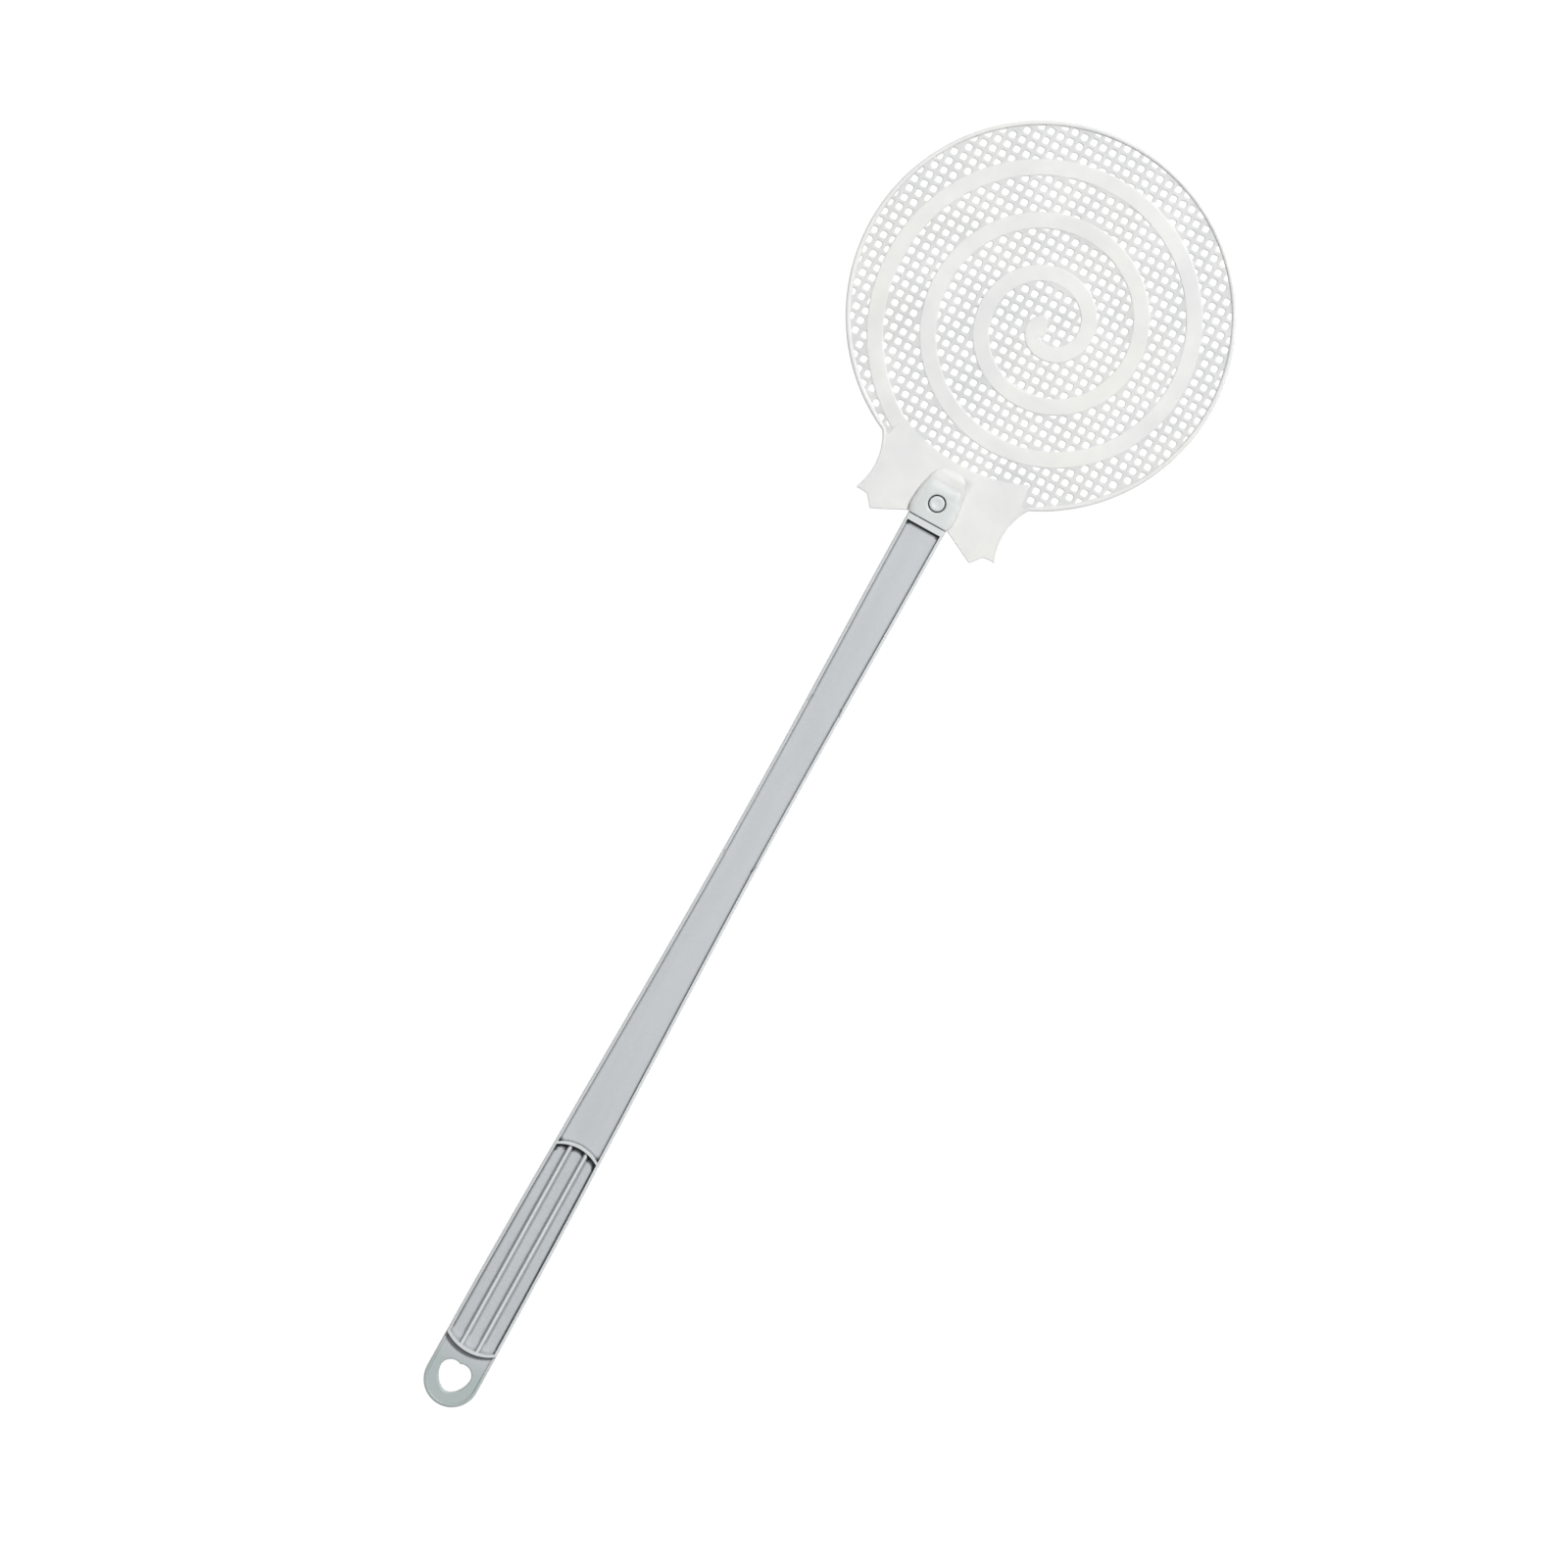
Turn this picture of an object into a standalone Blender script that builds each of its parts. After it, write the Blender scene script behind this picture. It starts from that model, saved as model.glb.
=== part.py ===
"""Fly swatter: a round perforated plastic head pushed onto the tongue of a long plastic handle.

It lies flat on its back. +Y runs from the grip to the head, +X to the right, +Z up out of the face.
The origin is halfway along its length, on the surface that it lies on.
"""
import bpy
import bmesh
import math
from mathutils import Matrix, Vector

MM = 0.001

# The whole swatter
HEAD_RADIUS = 63.8 * MM
HANDLE_REACH = 405.4 * MM            # from the blade's centre to the end of the handle
LENGTH = HEAD_RADIUS + HANDLE_REACH
BLADE_Y = LENGTH / 2 - HEAD_RADIUS   # the blade's centre
MID_Z = 3.5 * MM                     # mid-plane of the blade and of the socket
GAP = 0.3 * MM                       # between two pieces that touch

# Blade
BLADE_THICKNESS = 1.2 * MM
RIM_WIDTH = 1.7 * MM
RIM_THICKNESS = 2.2 * MM
NET_PITCH = 3.5 * MM
NET_HOLE = 2.2 * MM
COLLAR_DEPTH = 8.5 * MM              # solid part of the blade above the wings
COLLAR_HALF_WIDTH = 24.0 * MM

# Spiral band: its radius grows by SPIRAL_TURN each turn, anticlockwise seen from the front
SPIRAL_CENTRE = (3.66 * MM, -2.10 * MM)
SPIRAL_TURN = 17.3 * MM
SPIRAL_START = math.radians(116.5)
SPIRAL_END = math.radians(1322.0)
SPIRAL_WIDTH = 5.4 * MM

# Wings, measured from the blade's centre: the points of the right-hand one, from the rim round to the socket
WING_ROOT = (27.3 * MM, -57.6 * MM)
WING_WAIST = (24.2 * MM, -66.0 * MM)
WING_OUTER_TIP = (25.9 * MM, -77.8 * MM)
WING_NOTCH = (21.6 * MM, -78.1 * MM)
WING_INNER_TIP = (18.5 * MM, -82.0 * MM)
WING_FOOT = (5.0 * MM, -75.0 * MM)

# Socket, measured from the blade's centre
SOCKET_MOUTH = -76.7 * MM
SOCKET_TOP = -59.7 * MM
SOCKET_MOUTH_HALF_WIDTH = 7.0 * MM
SOCKET_HALF_WIDTH = 8.0 * MM
SOCKET_WIDEST_Y = -73.3 * MM
SOCKET_SIDE_TOP = (6.7 * MM, -64.5 * MM)
SOCKET_SHOULDER = (5.5 * MM, -61.4 * MM)
SOCKET_CROWN_HALF_WIDTH = 3.6 * MM
SOCKET_THICKNESS = 6.4 * MM
SOCKET_WALL = 1.3 * MM
SOCKET_ROUNDING = 0.9 * MM

# Tongue and snap tab, measured from the blade's centre
SHOULDER = SOCKET_MOUTH - GAP
TONGUE_TIP = -63.2 * MM
TONGUE_HALF_WIDTH = 5.0 * MM
TONGUE_THICKNESS = 3.2 * MM
TONGUE_CORNER = 1.5 * MM
STUD_Y = -70.2 * MM
STUD_RADIUS = 2.65 * MM
STUD_HOLE_RADIUS = 3.1 * MM
STUD_CHAMFER = 0.5 * MM
TAB_TIP = STUD_Y + 3.9 * MM
TAB_HALF_WIDTH = 3.4 * MM
TAB_THICKNESS = 1.2 * MM

# Handle, measured from the blade's centre
HANDLE_THICKNESS = 7.0 * MM
NECK_HALF_WIDTH = 6.9 * MM
WAIST_Y = -176.0 * MM
WAIST_HALF_WIDTH = 6.3 * MM
GRIP_Y = -390.0 * MM
GRIP_HALF_WIDTH = 9.2 * MM
EDGE_WIDTH = 1.0 * MM                # raised edge along each side
EDGE_ROUNDING = 0.6 * MM
SHAFT_RECESS_TOP = -79.2 * MM
SHAFT_FLOOR = 5.8 * MM
GRIP_FLOOR = 4.6 * MM
WEB_THICKNESS = 2.0 * MM
BACK_WALL = 1.7 * MM

# Curved ribs across the two ends of the grip
CROSS_RIB_WIDTH = 1.2 * MM
UPPER_RIB_CROWN = -309.1 * MM
UPPER_RIB_RADIUS = 13.4 * MM
LOWER_RIB_CROWN = -385.8 * MM
LOWER_RIB_RADIUS = 15.3 * MM

# Long ribs of the grip
LONG_RIB_X = 2.9 * MM
LONG_RIB_WIDTH = 1.9 * MM
LONG_RIB_TOP = 6.4 * MM

# Hanging tab with its heart-shaped hole
HANG_TAB_TOP = 5.0 * MM
END_CENTRE = -HANDLE_REACH + GRIP_HALF_WIDTH
HEART_LOBE_X = 1.7 * MM
HEART_LOBE_Y = -393.9 * MM
HEART_LOBE_RADIUS = 3.73 * MM
HEART_DEPTH = 6.95 * MM              # from the lobes' centres down to the tip
HEART_FULLNESS = 1.75                # 2 would make the lower half an ellipse, and 1 a triangle

MILKY_WHITE = (0.86, 0.86, 0.85, 1.0)
BLUE_GREY = (0.52, 0.56, 0.58, 1.0)


def clear_scene():
    for old in list(bpy.data.objects):
        bpy.data.objects.remove(old, do_unlink=True)


def new_collection(name):
    collection = bpy.data.collections.new(name)
    bpy.context.scene.collection.children.link(collection)
    return collection


def plastic(name, colour, roughness):
    material = bpy.data.materials.new(name)
    material.use_nodes = True
    shader = material.node_tree.nodes["Principled BSDF"]
    shader.inputs["Base Color"].default_value = colour
    shader.inputs["Roughness"].default_value = roughness
    shader.inputs["Metallic"].default_value = 0.0
    return material


def arc(centre, radius, start, end, steps):
    """Points on a circle from the angle start to the angle end, both included."""
    points = []
    for step in range(steps + 1):
        angle = start + (end - start) * step / steps
        points.append((centre[0] + radius * math.cos(angle), centre[1] + radius * math.sin(angle)))
    return points


def arc_through(first, middle, last, steps):
    """Points on the circle through three points, from the first to the last."""
    (ax, ay), (bx, by), (cx, cy) = first, middle, last
    twice_area = 2 * (ax * (by - cy) + bx * (cy - ay) + cx * (ay - by))
    a2 = ax * ax + ay * ay
    b2 = bx * bx + by * by
    c2 = cx * cx + cy * cy
    x = (a2 * (by - cy) + b2 * (cy - ay) + c2 * (ay - by)) / twice_area
    y = (a2 * (cx - bx) + b2 * (ax - cx) + c2 * (bx - ax)) / twice_area
    start = math.atan2(ay - y, ax - x)
    end = math.atan2(cy - y, cx - x)
    turn = (end - start + math.pi) % (2 * math.pi) - math.pi
    return arc((x, y), math.hypot(ax - x, ay - y), start, start + turn, steps)


def mirrored(right_side):
    """A closed outline from its right-hand half, listed from top to bottom."""
    left_side = [(-x, y) for x, y in reversed(right_side) if x > 0]
    return right_side + left_side


def extrude(name, outline, z_low, z_high, collection):
    """A closed mesh from a flat outline that is measured from the blade's centre."""
    curve = bpy.data.curves.new(name, "CURVE")
    curve.dimensions = "2D"
    curve.fill_mode = "BOTH"
    curve.extrude = (z_high - z_low) / 2
    spline = curve.splines.new("POLY")
    spline.points.add(len(outline) - 1)
    for point, (x, y) in zip(spline.points, outline):
        point.co = (x, y, 0.0, 1.0)
    spline.use_cyclic_u = True
    flat = bpy.data.objects.new(name, curve)
    flat.location = (0.0, BLADE_Y, (z_low + z_high) / 2)
    bpy.context.scene.collection.objects.link(flat)
    bpy.context.view_layer.update()

    evaluated = flat.evaluated_get(bpy.context.evaluated_depsgraph_get())
    mesh = bpy.data.meshes.new_from_object(evaluated)
    cleaner = bmesh.new()
    cleaner.from_mesh(mesh)
    bmesh.ops.remove_doubles(cleaner, verts=cleaner.verts, dist=0.01 * MM)
    bmesh.ops.recalc_face_normals(cleaner, faces=cleaner.faces)
    cleaner.to_mesh(mesh)
    cleaner.free()
    solid = bpy.data.objects.new(name, mesh)
    solid.matrix_world = flat.matrix_world
    collection.objects.link(solid)
    bpy.data.objects.remove(flat, do_unlink=True)
    return solid


def box(name, x_low, x_high, y_low, y_high, z_low, z_high, collection):
    corners = [(x_low, y_low), (x_high, y_low), (x_high, y_high), (x_low, y_high)]
    return extrude(name, corners, z_low, z_high, collection)


def cylinder(name, y, radius, z_low, z_high, collection):
    bpy.ops.mesh.primitive_cylinder_add(
        vertices=32,
        radius=radius,
        depth=z_high - z_low,
        location=(0.0, BLADE_Y + y, (z_low + z_high) / 2),
    )
    solid = bpy.context.object
    solid.name = name
    for holder in list(solid.users_collection):
        holder.objects.unlink(solid)
    collection.objects.link(solid)
    return solid


def round_edges(solid, width, segments, angle):
    bevel = solid.modifiers.new("Rounded edges", "BEVEL")
    bevel.width = width
    bevel.segments = segments
    bevel.limit_method = "ANGLE"
    bevel.angle_limit = angle
    bevel.use_clamp_overlap = False


def combine(solid, other, operation):
    """Add the other solid to this one, or cut it away, and keep it as a hidden guide."""
    boolean = solid.modifiers.new(other.name, "BOOLEAN")
    boolean.operation = operation
    boolean.object = other
    other.hide_render = True
    other.display_type = "WIRE"


def finish(solid, name, material, origin):
    """Name the piece, put its origin on its joint's axis, and shade it."""
    bpy.context.view_layer.update()
    evaluated = solid.evaluated_get(bpy.context.evaluated_depsgraph_get())
    mesh = bpy.data.meshes.new_from_object(evaluated)
    shift = solid.matrix_world.translation - Vector(origin)
    for vertex in mesh.vertices:
        vertex.co += shift
    solid.modifiers.clear()
    solid.data = mesh
    solid.location = origin
    solid.name = name
    mesh.name = name
    mesh.materials.clear()
    mesh.materials.append(material)
    mesh.shade_smooth()
    mesh.set_sharp_from_angle(angle=math.radians(30.0))
    return solid


# Head

def plate_outline():
    """The blade's circle, open at the bottom, with the two wings under it."""
    side = arc_through(WING_ROOT, WING_WAIST, WING_OUTER_TIP, 10)
    wing = [*side, WING_NOTCH, WING_INNER_TIP, WING_FOOT]
    root_angle = math.atan2(WING_ROOT[1], WING_ROOT[0])
    circle = arc((0.0, 0.0), HEAD_RADIUS - GAP, math.pi / 2, root_angle, 36)
    return mirrored(circle[1:-1] + wing) + [(0.0, HEAD_RADIUS - GAP)]


def rim_outline():
    root_angle = math.atan2(WING_ROOT[1], WING_ROOT[0])
    outer = arc((0.0, 0.0), HEAD_RADIUS, root_angle, math.pi - root_angle, 72)
    inner = arc((0.0, 0.0), HEAD_RADIUS - RIM_WIDTH, math.pi - root_angle, root_angle, 72)
    return outer + inner


def socket_outline():
    """The socket's boss: a mouth, a swelling side and a rounded top."""
    crown = (SOCKET_CROWN_HALF_WIDTH, SOCKET_TOP)
    shoulder = arc_through(crown, SOCKET_SHOULDER, SOCKET_SIDE_TOP, 5)
    widest = (SOCKET_HALF_WIDTH, SOCKET_WIDEST_Y)
    return mirrored([*shoulder, widest, (SOCKET_MOUTH_HALF_WIDTH, SOCKET_MOUTH)])


def on_spiral(x, y):
    """Whether a point of the net lies on the spiral band."""
    growth = SPIRAL_TURN / (2 * math.pi)
    radius = math.hypot(x - SPIRAL_CENTRE[0], y - SPIRAL_CENTRE[1])
    bearing = math.atan2(y - SPIRAL_CENTRE[1], x - SPIRAL_CENTRE[0])
    turns = round((radius / growth + SPIRAL_START - bearing) / (2 * math.pi))
    nearest = bearing + 2 * math.pi * turns
    if nearest > SPIRAL_END:
        nearest -= 2 * math.pi
    return abs(radius - growth * (nearest - SPIRAL_START)) < SPIRAL_WIDTH / 2


def net_hole_is_open(x, y):
    """Whether a whole square hole of the net fits at (x, y), clear of the band, collar and rim."""
    half = NET_HOLE / 2
    for corner_x in (x - half, x + half):
        for corner_y in (y - half, y + half):
            if math.hypot(corner_x, corner_y) > HEAD_RADIUS - RIM_WIDTH:
                return False
            if abs(corner_x) < COLLAR_HALF_WIDTH and corner_y < COLLAR_DEPTH - HEAD_RADIUS:
                return False
            if on_spiral(corner_x, corner_y):
                return False
    return True


def net_holes(collection):
    """One square prism for each hole of the net, all in one cutter."""
    shaper = bmesh.new()
    prism = Matrix.Diagonal((NET_HOLE, NET_HOLE, SOCKET_THICKNESS, 1.0))
    rows = int(HEAD_RADIUS / NET_PITCH) + 1
    for row in range(-rows, rows):
        for column in range(-rows, rows):
            x = (column + 0.5) * NET_PITCH
            y = (row + 0.5) * NET_PITCH
            if net_hole_is_open(x, y):
                place = Matrix.Translation((x, y, 0.0)) @ prism
                bmesh.ops.create_cube(shaper, size=1.0, matrix=place)
    mesh = bpy.data.meshes.new("net_holes")
    shaper.to_mesh(mesh)
    shaper.free()
    cutter = bpy.data.objects.new("net_holes", mesh)
    cutter.location = (0.0, BLADE_Y, MID_Z)
    collection.objects.link(cutter)
    return cutter


def make_head(parts, cutters, material):
    half = BLADE_THICKNESS / 2
    head = extrude("head", plate_outline(), MID_Z - half, MID_Z + half, parts)

    half = RIM_THICKNESS / 2
    rim = extrude("rim_shape", rim_outline(), MID_Z - half, MID_Z + half, cutters)
    combine(head, rim, "UNION")

    half = SOCKET_THICKNESS / 2
    socket = extrude("socket_shape", socket_outline(), MID_Z - half, MID_Z + half, cutters)
    round_edges(socket, SOCKET_ROUNDING, 2, math.radians(60.0))
    combine(head, socket, "UNION")

    half = SOCKET_THICKNESS / 2 - SOCKET_WALL
    wide = TONGUE_HALF_WIDTH + GAP
    low = SOCKET_MOUTH - TONGUE_CORNER
    cavity = box("socket_cavity", -wide, wide, low, TONGUE_TIP + GAP, MID_Z - half, MID_Z + half, cutters)
    combine(head, cavity, "DIFFERENCE")

    combine(head, net_holes(cutters), "DIFFERENCE")

    hole = cylinder("stud_hole", STUD_Y, STUD_HOLE_RADIUS, MID_Z, 2 * HANDLE_THICKNESS, cutters)
    combine(head, hole, "DIFFERENCE")
    return finish(head, "head", material, (0.0, BLADE_Y, MID_Z))


# Handle

def smooth_step(value):
    value = min(max(value, 0.0), 1.0)
    return value * value * (3 - 2 * value)


def half_width(y):
    """The handle narrows from the neck to the waist and widens again to the grip."""
    to_waist = smooth_step((SHOULDER - y) / (SHOULDER - WAIST_Y))
    to_grip = smooth_step((WAIST_Y - y) / (WAIST_Y - GRIP_Y))
    narrowing = (NECK_HALF_WIDTH - WAIST_HALF_WIDTH) * to_waist
    return NECK_HALF_WIDTH - narrowing + (GRIP_HALF_WIDTH - WAIST_HALF_WIDTH) * to_grip


def side(y_high, y_low, inset, steps):
    """The right-hand side of the handle, from y_high down to y_low, moved inwards by inset."""
    points = []
    for step in range(steps + 1):
        y = y_high + (y_low - y_high) * step / steps
        points.append((half_width(y) - inset, y))
    return points


def upper_rib_y(x, drop):
    """The upper cross rib's edge, bowed towards the head."""
    return UPPER_RIB_CROWN - drop - UPPER_RIB_RADIUS + math.sqrt(UPPER_RIB_RADIUS ** 2 - x ** 2)


def lower_rib_y(x, rise):
    """The lower cross rib's edge, bowed towards the handle's end."""
    return LOWER_RIB_CROWN + rise + LOWER_RIB_RADIUS - math.sqrt(LOWER_RIB_RADIUS ** 2 - x ** 2)


def across(edge, offset, half, start, end, steps=8):
    """Points along a cross rib's edge, from x = start * half to x = end * half."""
    points = []
    for step in range(steps + 1):
        x = half * (start + (end - start) * step / steps)
        points.append((x, edge(x, offset)))
    return points


def heart_outline(steps=12):
    """Two round lobes above, and one full curve below that narrows to the tip."""
    notch = math.acos(-HEART_LOBE_X / HEART_LOBE_RADIUS)
    right_side = arc((HEART_LOBE_X, HEART_LOBE_Y), HEART_LOBE_RADIUS, notch, 0.0, steps)[1:]
    half = HEART_LOBE_X + HEART_LOBE_RADIUS
    power = 2 / HEART_FULLNESS
    for step in range(1, steps):
        angle = math.pi / 2 * step / steps
        x = half * math.cos(angle) ** power
        right_side.append((x, HEART_LOBE_Y - HEART_DEPTH * math.sin(angle) ** power))
    right_side.append((0.0, HEART_LOBE_Y - HEART_DEPTH))
    notch_y = HEART_LOBE_Y + HEART_LOBE_RADIUS * math.sin(notch)
    return mirrored(right_side) + [(0.0, notch_y)]


def handle_outline():
    """The whole outline of the handle from its shoulder to its round end."""
    right_side = side(SHOULDER, END_CENTRE, 0.0, 30)
    end = arc((0.0, END_CENTRE), GRIP_HALF_WIDTH, 0.0, -math.pi / 2, 8)
    return mirrored(right_side[:-1] + end)


def tongue_outline():
    corner = (TONGUE_HALF_WIDTH - TONGUE_CORNER, TONGUE_TIP - TONGUE_CORNER)
    rounded = arc(corner, TONGUE_CORNER, math.pi / 2, 0.0, 4)
    return mirrored([*rounded, (TONGUE_HALF_WIDTH, SHAFT_RECESS_TOP)])


def cut_front(handle, cutters):
    """The shaft's shallow recess, the grip's deeper one, and the lower hanging tab."""
    clear = 2 * HANDLE_THICKNESS
    shaft_bottom = upper_rib_y(half_width(UPPER_RIB_CROWN) - EDGE_WIDTH, 0.0)
    right = side(SHAFT_RECESS_TOP, shaft_bottom, EDGE_WIDTH, 20)
    left = [(-x, y) for x, y in reversed(right)]
    bow = across(upper_rib_y, 0.0, right[-1][0], 1.0, -1.0)
    shaft = extrude("shaft_recess", right[:-1] + bow + left[1:], SHAFT_FLOOR, clear, cutters)
    combine(handle, shaft, "DIFFERENCE")

    top_half = half_width(UPPER_RIB_CROWN) - EDGE_WIDTH
    low_half = half_width(LOWER_RIB_CROWN) - EDGE_WIDTH
    top_y = upper_rib_y(top_half, CROSS_RIB_WIDTH)
    low_y = lower_rib_y(low_half, CROSS_RIB_WIDTH)
    top = across(upper_rib_y, CROSS_RIB_WIDTH, top_half, -1.0, 1.0)
    bottom = across(lower_rib_y, CROSS_RIB_WIDTH, low_half, 1.0, -1.0)
    right = side(top_y, low_y, EDGE_WIDTH, 8)[1:-1]
    left = [(-x, y) for x, y in reversed(right)]
    grip = extrude("grip_recess", top + right + bottom + left, GRIP_FLOOR, clear, cutters)
    combine(handle, grip, "DIFFERENCE")

    wide = 1.5 * GRIP_HALF_WIDTH
    bow = across(lower_rib_y, 0.0, wide, -1.0, 1.0, 14)
    below = [(wide, -HANDLE_REACH - wide), (-wide, -HANDLE_REACH - wide)]
    tab = extrude("hang_tab_top", bow + below, HANG_TAB_TOP, clear, cutters)
    combine(handle, tab, "DIFFERENCE")


def cut_back(handle, cutters):
    """The open channel along the back: deeper under the shaft than under the grip."""
    step_y = UPPER_RIB_CROWN - CROSS_RIB_WIDTH
    right = side(SHAFT_RECESS_TOP - BACK_WALL, step_y, BACK_WALL, 16)
    left = [(-x, y) for x, y in reversed(right)]
    shaft = extrude("shaft_channel", right + left, -MID_Z, SHAFT_FLOOR - WEB_THICKNESS, cutters)
    combine(handle, shaft, "DIFFERENCE")

    right = side(step_y - BACK_WALL, LOWER_RIB_CROWN + BACK_WALL, BACK_WALL, 6)
    left = [(-x, y) for x, y in reversed(right)]
    grip = extrude("grip_channel", right + left, -MID_Z, GRIP_FLOOR - WEB_THICKNESS, cutters)
    combine(handle, grip, "DIFFERENCE")


def make_handle(parts, cutters, material):
    handle = extrude("handle", handle_outline(), 0.0, HANDLE_THICKNESS, parts)
    round_edges(handle, EDGE_ROUNDING, 2, math.radians(60.0))
    cut_front(handle, cutters)
    cut_back(handle, cutters)

    for side_name, x in (("left", -LONG_RIB_X), ("right", LONG_RIB_X)):
        top = upper_rib_y(x, CROSS_RIB_WIDTH / 2)
        bottom = lower_rib_y(x, CROSS_RIB_WIDTH / 2)
        half = LONG_RIB_WIDTH / 2
        foot = GRIP_FLOOR - WEB_THICKNESS / 2
        name = "long_rib_" + side_name
        rib = box(name, x - half, x + half, bottom, top, foot, LONG_RIB_TOP, cutters)
        combine(handle, rib, "UNION")

    half = TONGUE_THICKNESS / 2
    tongue = extrude("tongue_shape", tongue_outline(), MID_Z - half, MID_Z + half, cutters)
    combine(handle, tongue, "UNION")

    wide = TAB_HALF_WIDTH + GAP
    top = MID_Z + TONGUE_THICKNESS / 2 + GAP
    slot = box("tab_slot", -wide, wide, SHOULDER - GAP, TAB_TIP + GAP, -MID_Z, top, cutters)
    combine(handle, slot, "DIFFERENCE")

    heart = extrude("heart_hole", heart_outline(), -MID_Z, 2 * HANDLE_THICKNESS, cutters)
    combine(handle, heart, "DIFFERENCE")
    return finish(handle, "handle", material, (0.0, BLADE_Y, 0.0))


# Snap tab

def make_snap_tab(parts, cutters, material):
    """The springy strip in the tongue, with the round stud on its end."""
    top = MID_Z + TONGUE_THICKNESS / 2
    bottom = top - TAB_THICKNESS
    tab = box("snap_tab", -TAB_HALF_WIDTH, TAB_HALF_WIDTH, SHOULDER, TAB_TIP, bottom, top, parts)

    stud_top = MID_Z + SOCKET_THICKNESS / 2
    stud = cylinder("stud_shape", STUD_Y, STUD_RADIUS, bottom + TAB_THICKNESS / 2, stud_top, cutters)
    round_edges(stud, STUD_CHAMFER, 2, math.radians(60.0))
    combine(tab, stud, "UNION")
    return finish(tab, "snap_tab", material, (0.0, BLADE_Y + SHOULDER, (top + bottom) / 2))


clear_scene()
swatter = new_collection("Fly swatter")
guides = new_collection("Cutters")
make_head(swatter, guides, plastic("Head plastic", MILKY_WHITE, 0.45))
make_handle(swatter, guides, plastic("Handle plastic", BLUE_GREY, 0.5))
make_snap_tab(swatter, guides, plastic("Snap tab plastic", BLUE_GREY, 0.5))
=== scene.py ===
import math

import bmesh
import bpy
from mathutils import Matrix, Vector


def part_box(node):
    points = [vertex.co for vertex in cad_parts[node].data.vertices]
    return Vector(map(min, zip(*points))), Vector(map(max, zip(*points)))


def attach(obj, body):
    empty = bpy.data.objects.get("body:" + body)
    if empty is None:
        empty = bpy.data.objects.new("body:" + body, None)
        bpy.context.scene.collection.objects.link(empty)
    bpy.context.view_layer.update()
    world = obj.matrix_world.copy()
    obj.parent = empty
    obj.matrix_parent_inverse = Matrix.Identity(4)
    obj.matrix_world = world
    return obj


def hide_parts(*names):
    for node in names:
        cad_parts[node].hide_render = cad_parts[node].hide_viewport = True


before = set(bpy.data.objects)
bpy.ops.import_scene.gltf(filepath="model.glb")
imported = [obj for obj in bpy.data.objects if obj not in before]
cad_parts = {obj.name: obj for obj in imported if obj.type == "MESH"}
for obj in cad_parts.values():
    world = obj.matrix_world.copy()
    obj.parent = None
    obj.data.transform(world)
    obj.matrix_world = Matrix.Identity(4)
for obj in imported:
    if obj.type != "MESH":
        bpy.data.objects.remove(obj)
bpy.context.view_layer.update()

MM = 0.001

head_low, head_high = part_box("head")
handle_low, handle_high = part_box("handle")
HEAD_RADIUS = (head_high.x - head_low.x) / 2
BLADE_Y = head_high.y - HEAD_RADIUS
HANDLE_REACH = BLADE_Y - handle_low.y
HANDLE_THICKNESS = handle_high.z
MID_Z = HANDLE_THICKNESS / 2
GAP = 0.3 * MM

# Net of the blade
NET_PITCH = 3.5 * MM
NET_HOLE = 2.2 * MM
NET_CORNER = 0.6 * MM
NET_THICKNESS = 1.2 * MM
# (how far outside the hole's edge, how deep under the net's face) down the rounded lip of a hole
NET_LIP = [(0.24 * MM, 0.0), (0.12 * MM, 0.03 * MM), (0.03 * MM, 0.12 * MM), (0.0, 0.27 * MM)]
NET_COVERED = 0.55 * MM              # a hole is moulded if no more than this past its centre is covered
NET_INSET = 0.5 * MM                 # the net ends inside the rim, this far from the blade's edge

RIM_WIDTH = 1.7 * MM
RIM_THICKNESS = 2.2 * MM
RIM_SQUARENESS = 3.0                 # 2 would make its section an ellipse, and a high number a box
WING_BEAD_WIDTH = 0.9 * MM
WING_BEAD_THICKNESS = 1.5 * MM

# Spiral band: its radius grows by SPIRAL_TURN each turn, anticlockwise seen from the front
SPIRAL_CENTRE = (3.66 * MM, -2.10 * MM)
SPIRAL_TURN = 17.3 * MM
SPIRAL_START = math.radians(116.5)
SPIRAL_END = math.radians(1322.0)
SPIRAL_WIDTH = 5.4 * MM
SPIRAL_THICKNESS = 1.4 * MM
SPIRAL_ROUNDING = 0.32 * MM
SPIRAL_LEAST_REACH = 0.2 * MM        # the band's inner edge starts this far from the spiral's centre
SPIRAL_BUD = (1.4 * MM, -4.2 * MM)   # round start of the band
SPIRAL_BUD_RADIUS = 2.75 * MM

# Solid collar at the bottom of the blade, and the wings under it
COLLAR_RADIUS = 55.3 * MM
COLLAR_HALF_WIDTH = 23.5 * MM
COLLAR_END = (COLLAR_HALF_WIDTH + 1.2 * MM, -57.4 * MM)    # its lower corner, hidden in the rim
PLATE_THICKNESS = 1.26 * MM
PLATE_ROUNDING = 0.3 * MM
WING_ROOT = (27.3 * MM, -57.6 * MM)
WING_WAIST = (24.2 * MM, -66.0 * MM)
WING_OUTER_TIP = (25.9 * MM, -77.8 * MM)
WING_NOTCH = (21.6 * MM, -78.1 * MM)
WING_INNER_TIP = (18.5 * MM, -82.0 * MM)
WING_FOOT = (5.0 * MM, -75.2 * MM)
WING_CORNER = 0.6 * MM

# Socket
SOCKET_MOUTH = -76.7 * MM
SOCKET_THICKNESS = 6.4 * MM
SOCKET_WALL = 1.3 * MM
SOCKET_SQUARENESS = 4.5
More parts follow.
